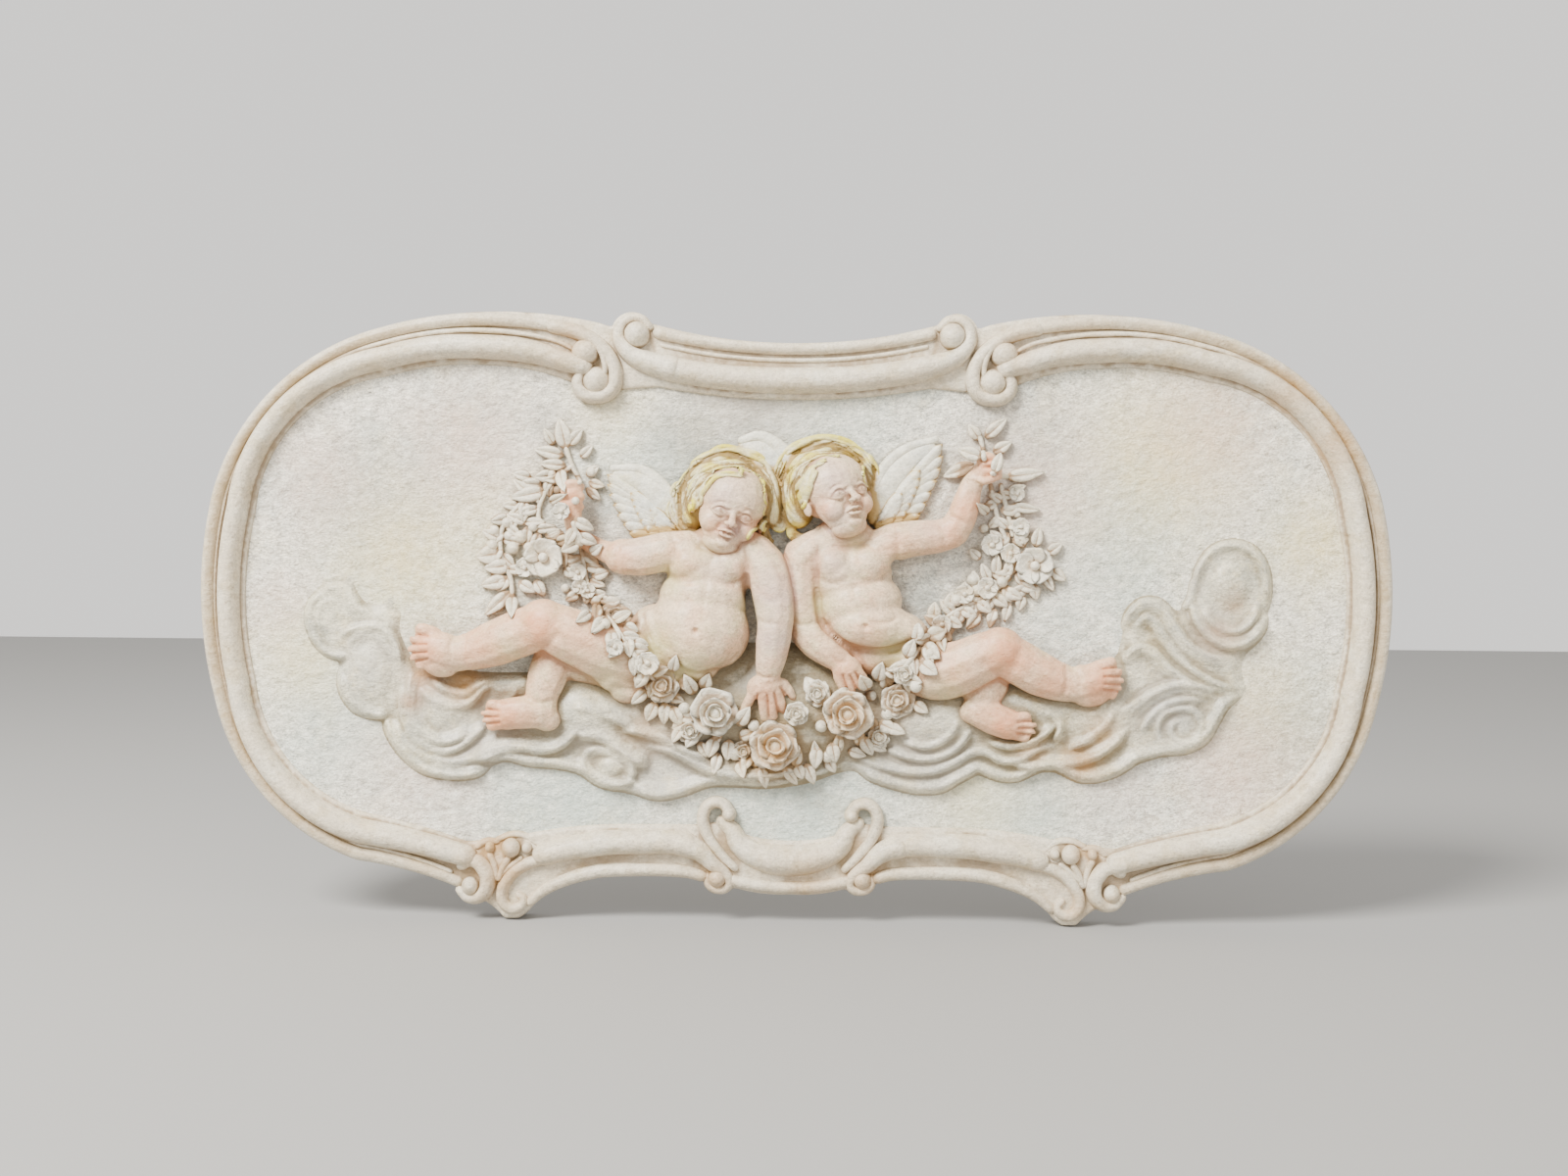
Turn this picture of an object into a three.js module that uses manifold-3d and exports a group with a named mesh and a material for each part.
import * as THREE from 'three';
import { mergeVertices } from 'three/addons/utils/BufferGeometryUtils.js';
import Module from 'manifold-3d';

// Wall plaque cast in plaster and painted: two cherubs on clouds hold a flower garland inside a
// scrolled rococo frame. It is one casting, so it is one closed solid with a plain flat back.
// Millimetres. The relief is drawn as it is seen on the wall, x to the right, y up and z out of the
// wall from the back; the group at the end stands it up so that its front looks along -Y.

// Outline
const HALF_WIDTH = 290;
const ARCH_TOP = 134;
const KNOB_TOP = 149;
const SHOULDER_END_Y = 141.5;
const FOOT_Y = -148.5;
const FOOT_X = 136.5;
const DROP_Y = -134.8;
const ARC_STEP = 24;
const MOULDING_STEP = 32;

// Heights above the wall
const FIELD_Z = 12;
const RIM_Z = 19;
const TORUS_Z = 24;
const RELIEF_Z = 46;

// Frame mouldings
const RIM_WIDTH = 8;
const TORUS_WIDTH = 14;
const SCROLL_WIDTH = 13;

const wasm = await Module();
wasm.setup();

// A closed geometry as a solid for joining. Triangles that closed up to nothing at a pole are left
// out, and a surface that was wound inwards is turned round.
function solid(geometry) {
  const bare = geometry.clone();
  bare.deleteAttribute('normal');
  bare.deleteAttribute('uv');
  const merged = mergeVertices(bare, 1e-3);
  const p = merged.attributes.position;
  const kept = [];
  let volume = 0;
  const a = new THREE.Vector3();
  const b = new THREE.Vector3();
  const c = new THREE.Vector3();
  for (let i = 0; i < merged.index.count; i += 3) {
    const [u, v, w] = [0, 1, 2].map((k) => merged.index.getX(i + k));
    if (u === v || v === w || w === u) continue;
    kept.push(u, v, w);
    a.fromBufferAttribute(p, u);
    b.fromBufferAttribute(p, v);
    c.fromBufferAttribute(p, w);
    volume += a.dot(b.cross(c));
  }
  if (volume < 0) kept.reverse();
  return new wasm.Manifold(new wasm.Mesh({
    numProp: 3,
    vertProperties: new Float32Array(p.array),
    triVerts: new Uint32Array(kept),
  }));
}

const pieces = [];

function add(geometry) {
  pieces.push(solid(geometry));
}

// An ellipsoid, turned in the plane of the relief. Detail 0 has 20 faces, 1 has 80 and 2 has 180.
function blob(x, y, z, rx, ry, rz, degrees = 0, detail = 0) {
  const g = new THREE.IcosahedronGeometry(1, detail);
  g.scale(rx, ry, rz);
  g.rotateZ(THREE.MathUtils.degToRad(degrees));
  g.translate(x, y, z);
  add(g);
}

// A rounded bar on a smooth curve through joints [x, y, z, radius]. Its section is an ellipse,
// squeezed towards the wall by flat, and turn 0 puts a corner on each side instead of a face.
function bar(joints, { sides = 6, steps = 1, flat = 1, ends = 1, turn = 0.5 } = {}) {
  const curve = new THREE.CatmullRomCurve3(joints.map(([x, y, z]) => new THREE.Vector3(x, y, z)));
  const count = (joints.length - 1) * steps;
  const stations = [];
  for (let i = 0; i <= count; i += 1) {
    const t = i / count;
    const k = Math.min(Math.floor(i / steps), joints.length - 2);
    const share = i / steps - k;
    const radius = THREE.MathUtils.lerp(joints[k][3], joints[k + 1][3], share);
    stations.push({ at: curve.getPoint(t), along: curve.getTangent(t), radius });
  }
  const first = stations[0];
  const last = stations[count];
  const cap = (s, way, angle) => ({
    at: s.at.clone().addScaledVector(s.along, way * s.radius * ends * Math.sin(angle)),
    along: s.along,
    radius: s.radius * Math.cos(angle),
  });
  const rings = [cap(first, -1, Math.PI / 4), ...stations, cap(last, 1, Math.PI / 4)];
  const poles = [cap(first, -1, Math.PI / 2).at, cap(last, 1, Math.PI / 2).at];
  const out = new THREE.Vector3(0, 0, 1);
  const position = [];
  for (const { at, along, radius } of rings) {
    const across = new THREE.Vector3().crossVectors(along, out).normalize();
    const up = new THREE.Vector3().crossVectors(across, along).normalize();
    for (let j = 0; j < sides; j += 1) {
      const angle = (2 * Math.PI * (j + turn)) / sides;
      const point = at.clone()
        .addScaledVector(across, radius * Math.cos(angle))
        .addScaledVector(up, radius * flat * Math.sin(angle));
      position.push(point.x, point.y, point.z);
    }
  }
  for (const pole of poles) position.push(pole.x, pole.y, pole.z);
  const index = [];
  const ringCount = rings.length;
  const start = ringCount * sides;
  for (let j = 0; j < sides; j += 1) {
    const next = (j + 1) % sides;
    for (let i = 0; i < ringCount - 1; i += 1) {
      const [here, on] = [i * sides, (i + 1) * sides];
      index.push(here + j, here + next, on + next, here + j, on + next, on + j);
    }
    index.push(start, next, j);
    index.push(start + 1, (ringCount - 1) * sides + j, (ringCount - 1) * sides + next);
  }
  const g = new THREE.BufferGeometry();
  g.setAttribute('position', new THREE.Float32BufferAttribute(position, 3));
  g.setIndex(index);
  add(g);
}

// A leaf from its foot to its tip, with a ridge along the middle.
function leaf(x0, y0, x1, y1, width, z, thick = 3.4) {
  const g = new THREE.OctahedronGeometry(1, 0);
  g.scale(Math.hypot(x1 - x0, y1 - y0) / 2, width / 2, thick);
  g.rotateZ(Math.atan2(y1 - y0, x1 - x0));
  g.translate((x0 + x1) / 2, (y0 + y1) / 2, z);
  add(g);
}

// A ring of petals: a low cup whose rim goes in and out once for each petal, round a raised eye.
function petals(x, y, z, radius, count, rise, turn = 0.3) {
  const g = new THREE.CylinderGeometry(0.42, 1, 1, 2 * count, 1);
  const p = g.attributes.position;
  for (let i = 0; i < p.count; i += 1) {
    const angle = Math.atan2(p.getX(i), p.getZ(i));
    const inwards = Math.cos(count * angle) < 0;
    const rim = Math.hypot(p.getX(i), p.getZ(i));
    if (inwards && rim > 0.1) p.setX(i, 0.62 * p.getX(i)).setZ(i, 0.62 * p.getZ(i));
  }
  g.translate(0, 0.5, 0);
  g.rotateX(Math.PI / 2);
  g.scale(radius, radius, rise);
  g.rotateZ(turn);
  g.translate(x, y, z);
  add(g);
}

// An open flower.
function flower(x, y, z, radius, count = 5) {
  petals(x, y, z - 6, radius, count, 10);
}

// A rose: an open ring of petals round a closed heart.
function rose(x, y, z, radius) {
  petals(x, y, z - 10, radius, 5, 15, 0.2);
  blob(x, y, z + 5, 0.5 * radius, 0.45 * radius, 6, 20);
}

// A flat bar wound in a spiral from an outer to an inner radius.
function curl(x, y, z, outer, inner, from, to, thick, flat = 0.8, joints = 6) {
  const path = [];
  for (let i = 0; i < joints; i += 1) {
    const share = i / (joints - 1);
    const angle = THREE.MathUtils.degToRad(THREE.MathUtils.lerp(from, to, share));
    const radius = THREE.MathUtils.lerp(outer, inner, share);
    const [px, py] = [x + radius * Math.cos(angle), y + radius * Math.sin(angle)];
    path.push([px, py, z, thick * (1 - 0.3 * share)]);
  }
  bar(path, { sides: 4, turn: 0, flat });
}

// Points of a line made of circular arcs: each arc gives its end and its sag, outwards positive
// for a line that runs clockwise.
function arcs([x0, y0], list, step = ARC_STEP) {
  const points = [new THREE.Vector2(x0, y0)];
  for (const [x, y, sag] of list) {
    const from = points[points.length - 1].clone();
    const to = new THREE.Vector2(x, y);
    const chord = to.clone().sub(from);
    const length = chord.length();
    const left = new THREE.Vector2(-chord.y, chord.x).normalize();
    const straight = Math.abs(sag) < 1;
    const steps = straight ? 1 : Math.max(2, Math.round((length + 4 * Math.abs(sag)) / step));
    const radius = (length * length / 4 + sag * sag) / (2 * Math.abs(sag) || 1);
    const half = Math.asin(Math.min(1, length / 2 / radius)) * (Math.abs(sag) > length / 2 ? -1 : 1);
    for (let i = 1; i <= steps; i += 1) {
      const share = i / steps;
      const point = from.clone().addScaledVector(chord, share);
      if (steps > 1) {
        const angle = (2 * share - 1) * half;
        const middle = from.clone().add(to).multiplyScalar(0.5);
        const along = radius * Math.sin(angle);
        const up = radius * (Math.cos(angle) - Math.cos(half));
        point.copy(middle).addScaledVector(chord.clone().normalize(), along);
        point.addScaledVector(left, Math.sign(sag) * up);
      }
      points.push(point);
    }
  }
  return points;
}

// Half the outline, clockwise from the top of the arch to the drop below it.
const halfOutline = arcs([0, ARCH_TOP], [
  [70, ARCH_TOP + 9.5, -2.3],
  [89, ARCH_TOP + 7.5, KNOB_TOP - ARCH_TOP - 8.5],
  [95, SHOULDER_END_Y + 2, 0],
  [200, SHOULDER_END_Y, 6.3],
  [HALF_WIDTH - 5.5, 60, 15.2],
  [HALF_WIDTH - 6.5, -40, 6],
  [213, -120, 13.8],
  [162, -133.5, -2],
  [150, -139.8, 3.6],
  [FOOT_X + 3.5, FOOT_Y, -0.8],
  [FOOT_X - 3.5, FOOT_Y, 0],
  [126, -142, 0.6],
  [113, -133.6, -0.8],
  [92, -127.2, -0.8],
  [50, -127.5, -0.9],
  [42, -129, 0],
  [27, -131.8, 3.6],
  [0, DROP_Y, 1.2],
]);
// Half the line where the outer rim drops to the groove behind the torus.
const halfRim = arcs([0, ARCH_TOP - 6], [
  [64, ARCH_TOP + 1.5, -2],
  [76, ARCH_TOP - 4, 0],
  [104, SHOULDER_END_Y - 4.5, 1],
  [199, SHOULDER_END_Y - RIM_WIDTH, 6],
  [HALF_WIDTH - RIM_WIDTH - 5, 58, 15],
  [HALF_WIDTH - RIM_WIDTH - 6.5, -37, 5.6],
  [209, -112, 13],
  [163, -124, -1.5],
  [140, -112, 0],
  [126, -133, 0],
  [113, -126, -0.8],
  [92, -120, -0.6],
  [46, -120.5, -0.9],
  [26, -124, 0],
  [0, DROP_Y + 7.5, 1],
]);
const mirrored = (half) => new THREE.Shape([
  ...half,
  ...half.slice(1, -1).reverse().map((p) => new THREE.Vector2(-p.x, p.y)),
]);
const slab = new THREE.ExtrudeGeometry(mirrored(halfOutline), { depth: RIM_Z, bevelEnabled: false });
const pocket = new THREE.ExtrudeGeometry(mirrored(halfRim), { depth: RIM_Z, bevelEnabled: false });
pocket.translate(0, 0, FIELD_Z);
pieces.push(solid(slab).subtract(solid(pocket)));

// A rounded moulding laid on the field, the same on both sides.
function moulding(start, list, width, top) {
  const points = arcs(start, list, MOULDING_STEP);
  for (const side of [1, -1]) {
    const joints = points.map((p) => [side * p.x, p.y, FIELD_Z, width / 2]);
    bar(joints, { flat: (top - FIELD_Z) / (width / 2), ends: 0.8 });
  }
}

// Torus of each shoulder and side, from the top volute to the foot.
moulding([99, 121], [
  [148, 131.6, 3.2],
  [200, 126, 2.5],
  [HALF_WIDTH - 22, 52, 17],
  [HALF_WIDTH - 22.5, -34, 5],
  [210, -105.2, 14],
  [160, -117, -1],
], TORUS_WIDTH, TORUS_Z);
// Scroll bar over the top, hooked up into a knob at each end.
moulding([0, 115.8], [[66, 122, -2], [83, 134, -3.5], [80, 141, 2]], SCROLL_WIDTH, TORUS_Z);
// The arches beside the drop, and the drop itself.
moulding([134, -124], [
  [122, -116, 0],
  [74, -109.8, -2],
  [40, -107.5, 0],
  [31, -99, 2],
], SCROLL_WIDTH, TORUS_Z);
moulding([37, -104], [[27, -114, 0], [0, -118.6, 1]], SCROLL_WIDTH - 1, TORUS_Z - 1);

for (const side of [1, -1]) {
  // Knobs of the top scroll and volutes where the shoulders start.
  blob(side * 79, 140, FIELD_Z, 9.5, 9.5, 13);
  curl(side * 95, 115.5, FIELD_Z, 7, 5, side > 0 ? 60 : 120, side > 0 ? 300 : -120, 5.5, 2, 4);
  blob(side * 101.5, 128.5, FIELD_Z, 6, 6, 11);
  // Volutes at the ends of the arches, above and below.
  blob(side * 33, -95, FIELD_Z, 9, 7.5, 12);
  blob(side * 34, -126.5, FIELD_Z, 7.5, 7, 12);
  // Foot: shell beads and leaf lobes above a closing scroll.
  blob(side * 156, -133, FIELD_Z, 7.5, 6.5, 12);
  blob(side * 156.5, -121, FIELD_Z, 8.5, 6.5, 12, side * -25);
  blob(side * 147, -117, FIELD_Z, 5, 7, 12, side * -15);
  blob(side * 136.5, -115.5, FIELD_Z, 6.5, 7, 12);
  const foot = [[139, -118], [142, -131], [137, -141]];
  bar(foot.map(([x, y]) => [side * x, y, FIELD_Z, 6]), { flat: 1.8 });
}

// Clouds: one low bank under the figures, scalloped all round, and curls rolled up on it.
const CLOUD_Z = FIELD_Z + 1;
const CLOUD_RISE = 5;
const bankLine = new THREE.Shape(arcs([-238, 2], [
  [-220, 15, 6], [-204, 4, 2], [-180, 4, 0], [-140, -2, 0], [-60, -30, 0], [70, -30, 0],
  [148, -22, 0], [164, 5, 3], [192, 2, 2], [204, 16, 2], [227, 16, 9], [222, -14, 2],
  [221, -32, 3], [204, -46, 3], [192, -61, 4], [170, -68, 3], [144, -75, 5], [121, -73, 3],
  [94, -72, 4], [66, -82, 2], [38, -71, 4], [17, -74, 0], [-12, -80, 3], [-46, -80, 4],
  [-78, -83, 4], [-106, -75, 3], [-124, -74, 2], [-148, -73, 3], [-180, -77, 4], [-199, -56, 6],
  [-218, -45, 5], [-222, -24, 5], [-236, -12, 3], [-238, 2, 3],
], 30).slice(1));
const bankShape = new THREE.ExtrudeGeometry(bankLine, {
  depth: CLOUD_RISE,
  bevelSize: 3,
  bevelOffset: -3,
  bevelThickness: 3,
  bevelSegments: 1,
});
bankShape.translate(0, 0, CLOUD_Z - 3);
add(bankShape);
const curlZ = CLOUD_Z + CLOUD_RISE;
curl(-225, 2, CLOUD_Z + 2, 12, 3.5, 20, 380, 4.2, 1, 7);
curl(-172, -50, curlZ + 1, 17, 6, 160, 400, 4.5, 1, 7);
curl(214, 14, CLOUD_Z + 2, 12, 4, 200, 520, 4.2, 1, 7);
curl(189, -50, curlZ, 12, 4, 170, 430, 4, 1, 7);
const ridge = (joints) => bar(joints, { sides: 4, turn: 0 });
ridge([[150, -22, curlZ, 7], [178, 0, curlZ, 6], [192, -9, curlZ, 5], [220, -13, CLOUD_Z + 2, 4]]);
ridge([[150, -44, curlZ, 6], [180, -38, curlZ, 6], [206, -30, curlZ, 5], [216, -28, CLOUD_Z + 2, 3]]);
ridge([[34, -70, curlZ - 2, 3], [60, -66, curlZ, 5], [86, -60, curlZ, 5], [140, -56, curlZ, 3]]);

// Figures. A joint is [x, y, height over the field, radius].
const body = (joints, options = {}) => bar(
  joints.map(([x, y, z, r]) => [x, y, FIELD_Z + z, r]),
  { sides: 6, ...options },
);
const mass = (x, y, z, rx, ry, rz, degrees = 0, detail = 0) => (
  blob(x, y, FIELD_Z + z, rx, ry, rz, degrees, detail)
);

// Left cherub: trunk, head, both arms and both legs.
mass(-40, 21, 7, 22, 17, 17, 0, 1);
mass(-46, -5, 8, 24.5, 24, 19, 12, 1);
const HEAD_Z = RELIEF_Z - FIELD_Z - 19;
mass(-30.5, 53, HEAD_Z, 17, 22, 17, -20, 2);
mass(-23, 44, HEAD_Z + 2, 7.5, 8, 13);
mass(-28.5, 50, HEAD_Z + 15, 3, 4, 4, -15);
mass(-27, 36.5, HEAD_Z + 6, 6, 5.5, 9);
mass(-34, 61, HEAD_Z - 4, 24, 20, 15, -15, 1);
body([[-55, 33, 10, 10], [-74, 30, 10, 10], [-94, 31, 10, 9], [-107, 44, 11, 7.5], [-106, 64, 11, 6.5]]);
body([[-15, 25, 12, 11], [-9, -3, 18, 9.5], [-11, -25, 16, 6.2], [-13, -36, 15, 7], [-14, -45, 13, 5.5]]);
body([
  [-62, -17, 6, 14], [-84, -20, 10, 16], [-123, -4, 17, 13],
  [-145, -14, 14, 12.5], [-163, -19, 11, 9], [-180, -16, 9, 9.5],
]);
body([[-112, -18, 4, 11], [-121, -40, 7, 8.5], [-122, -50, 7, 7], [-137, -50, 7, 7.5], [-149, -48, 6, 6]]);

// Right cherub.
mass(28, 24, 7, 22, 18, 16, 0, 1);
mass(37, 1, 8, 25, 17, 19, -8, 1);
mass(22, 60, HEAD_Z, 16.5, 21.5, 17, 12, 2);
mass(16, 52, HEAD_Z + 2, 8, 8, 13);
mass(30, 59, HEAD_Z + 14, 3, 4, 4, 10);
mass(28, 44, HEAD_Z + 4, 7, 5.5, 9);
mass(15, 68, HEAD_Z - 4, 23, 19, 15, 15, 1);
body([
  [46, 36, 10, 10], [62, 39, 12, 9.5], [77, 42, 13, 9],
  [85, 61, 14, 6.5], [90, 70, 14, 6], [95, 75, 14, 7.5],
]);
body([
  [6, 28, 8, 9.5], [4, 10, 10, 9], [8, -6, 13, 8.5], [20, -16, 17, 7], [29, -24, 17, 6], [32, -32, 15, 3.5],
]);
body([
  [54, -18, 6, 13], [70, -25, 11, 15], [102, -15, 17, 13],
  [119, -26, 14, 11.5], [137, -31, 11, 8.5], [153, -27, 9, 8.5],
]);
body([[98, -28, 4, 8.5], [92, -38, 6, 7.5], [90, -46, 7, 7], [103, -49, 8, 8], [115, -51, 6, 6]]);

// Hair: locks round each head.
const lock = (joints) => body(joints, { sides: 4, turn: 0, flat: 0.9 });
lock([[-26, 80, 14, 3], [-40, 79, 16, 5], [-51, 71, 14, 5], [-57, 58, 10, 4.5], [-55, 45, 8, 3]]);
lock([[-30, 78, 18, 3.5], [-43, 70, 21, 5], [-50, 59, 18, 4.5], [-50, 49, 14, 3]]);
lock([[-34, 80, 16, 3], [-22, 80, 17, 5], [-12, 71, 13, 4.5], [-9, 60, 9, 3.5], [-10, 50, 7, 3]]);
lock([[-33, 75, 21, 3], [-22, 74, 22, 4.5], [-14, 65, 18, 3.5]]);
lock([[26, 84, 15, 3], [12, 85, 16, 5], [0, 78, 13, 5], [-6, 68, 9, 4]]);
lock([[24, 80, 20, 3.5], [10, 77, 21, 5], [2, 67, 17, 4.5], [2, 56, 12, 3]]);
lock([[18, 82, 19, 3], [28, 82, 18, 4.5], [36, 75, 14, 4.5], [38, 65, 10, 3.5]]);

// Wings: feathers fanned from each shoulder.
const feather = (x0, y0, x1, y1, width, z) => leaf(x0, y0, x1, y1, width * 1.2, FIELD_Z + z, 4.5);
feather(-60, 60, -84, 69, 8, 6);
feather(-60, 56, -82, 62, 8, 5);
feather(-60, 51, -79, 55.5, 8, 4);
feather(-60, 47, -76, 49, 8, 3.5);
feather(-58, 43, -74, 43, 7, 3);
lock([[-58, 49, 7, 5], [-62, 62, 9, 5.5], [-72, 72, 8, 4], [-84, 71, 6, 3]]);
feather(-26, 78, -17, 86, 8, 3);
feather(-14, 78, -9, 84, 8, 3);
feather(43, 55, 64, 84, 9, 6);
feather(46, 54, 67, 77, 9, 5);
feather(49, 52, 65, 69, 8, 4);
feather(48, 51, 59, 62, 7, 3.5);
feather(47, 50, 58, 55, 7, 3);
lock([[41, 52, 8, 5], [42, 66, 9, 5.5], [51, 78, 8, 4.5], [63, 85, 6, 3]]);

// Garland: leaves [foot x, foot y, tip x, tip y, width, height], berries and flowers.
for (const [x0, y0, x1, y1, w, z] of [
  [-110, 82, -114, 97, 9, 4], [-113, 82, -127, 79, 6, 3], [-110, 68, -122, 66, 6, 3],
  [-121, 61, -138, 58, 8, 3], [-100, 62, -90, 63, 5, 3], [-154, 27, -146, 33, 10, 4],
  [-138, 26, -150, 24, 8, 4], [-138, 17, -152, 16, 8, 4], [-138, 10, -151, 2, 8, 4],
  [-97, 31, -92, 23, 8, 5], [-92, 21, -88, 11, 6, 5], [-93, 4, -80, -3, 12, 9],
  [-86, -8, -84, -17, 7, 11], [-79, -8, -77, -17, 7, 11], [-76, -16, -72, -25, 7, 10],
  [-61, -40, -60, -54, 7, 7], [-25, -50, -19, -63, 7, 8], [-48, -36, -38, -31, 8, 12],
  [48, -48, 53, -57, 7, 8], [55, -12, 60, -21, 7, 12], [46, -26, 48, -35, 8, 12],
  [76, -3, 77, -14, 7, 10], [71, -15, 70, -28, 7, 10], [90, 84, 89, 96, 5, 3],
  [93, 88, 103, 98, 5, 3], [80, 71, 89, 78, 6, 3], [103, 70, 122, 72, 8, 3],
  [106, 52, 120, 54, 6, 3], [104, 47, 96, 34, 7, 4], [104, 42, 116, 46, 7, 4],
  [105, 39, 118, 39, 6, 4], [105, 38, 106, 28, 6, 4], [116, 20, 124, 14, 7, 4],
]) {
  leaf(x0, y0, x1, y1, w, FIELD_Z + z);
}
for (const [x, y, r] of [
  [-143, 44, 3.4], [-134, 40, 3.5], [-137, 33.5, 3.5], [-147, 35, 3], [-105, 22, 4], [-103, 13, 4],
]) {
  blob(x, y, FIELD_Z + 2, r, r, 5);
}
flower(-122, 29, FIELD_Z + 4, 11, 5);
flower(-86, 2, FIELD_Z + 12, 8, 4);
flower(-70, -24, FIELD_Z + 13, 7, 4);
flower(118, 27, FIELD_Z + 4, 10, 5);
flower(101, 41, FIELD_Z + 3, 8, 5);
flower(112, 12, FIELD_Z + 5, 9, 5);
flower(92, 16, FIELD_Z + 5, 10, 5);
rose(-63, -33, FIELD_Z + 10, 9.5);
rose(-37, -46, FIELD_Z + 12, 13);
rose(-7, -61, FIELD_Z + 8, 13);
rose(28, -45, FIELD_Z + 12, 13);
flower(53, -40, FIELD_Z + 12, 9);
blob(8, -38, FIELD_Z + 9, 9, 12, 9);
blob(-27, -66, FIELD_Z + 5, 4.5, 4.5, 6);
blob(18, -67, FIELD_Z + 4, 4, 4, 6);
blob(56, -27, FIELD_Z + 12, 5, 4.5, 6);
for (const stem of [
  [[-121, 62, 3, 1.6], [-125, 48, 3, 1.6], [-118, 40, 3, 1.6], [-112, 41, 4, 1.6]],
  [[-138, 24, 2, 1.6], [-137, 10, 2, 1.5]],
  [[-104, 40, 5, 2.2], [-101, 24, 5, 2.4], [-95, 12, 6, 2.6], [-86, 0, 8, 2.8]],
  [[96, 68, 4, 1.6], [98, 50, 3, 1.6], [102, 38, 3, 1.8]],
  [[102, 68, 4, 1.6], [105, 52, 3, 1.6], [106, 44, 3, 1.6]],
  [[92, 84, 4, 1.5], [90, 92, 3, 1.4]],
  [[104, 22, 3, 2.4], [92, 12, 4, 2.6], [80, 2, 7, 2.8], [72, -14, 9, 2.8]],
]) {
  body(stem, { sides: 4, turn: 0, ends: 0.5 });
}

// Everything joins into the one casting, trimmed flat at the back.
let casting = pieces[0];
for (const piece of pieces.slice(1)) casting = casting.add(piece);
const behind = new THREE.BoxGeometry(3 * HALF_WIDTH, 2 * HALF_WIDTH, 60);
behind.translate(0, 0, -30);
casting = casting.subtract(solid(behind));

// The outer skin only: pockets sealed between joined forms are solid plaster in the casting.
function outerSkin(mesh) {
  const owner = Array.from({ length: mesh.vertProperties.length / 3 }, (_, i) => i);
  const root = (i) => {
    let r = i;
    while (owner[r] !== r) r = owner[r];
    owner[i] = r;
    return r;
  };
  const corners = mesh.triVerts;
  for (let i = 0; i < corners.length; i += 3) {
    owner[root(corners[i + 1])] = root(corners[i]);
    owner[root(corners[i + 2])] = root(corners[i]);
  }
  const shells = new Map();
  for (let i = 0; i < corners.length; i += 3) {
    const r = root(corners[i]);
    if (!shells.has(r)) shells.set(r, []);
    shells.get(r).push(corners[i], corners[i + 1], corners[i + 2]);
  }
  return [...shells.values()].sort((one, other) => other.length - one.length)[0];
}

const cast = casting.getMesh();
const whole = new THREE.BufferGeometry();
whole.setAttribute('position', new THREE.Float32BufferAttribute(cast.vertProperties, 3));
whole.setIndex(outerSkin(cast));
const geometry = mergeVertices(whole, 1e-4);
geometry.computeVertexNormals();

const plaster = new THREE.MeshStandardMaterial({ color: 0xddd5c8, roughness: 0.55, metalness: 0 });
const plaque = new THREE.Mesh(geometry, plaster);
plaque.name = 'plaque';

const group = new THREE.Group();
group.rotation.x = Math.PI / 2;
group.add(plaque);

export default group;
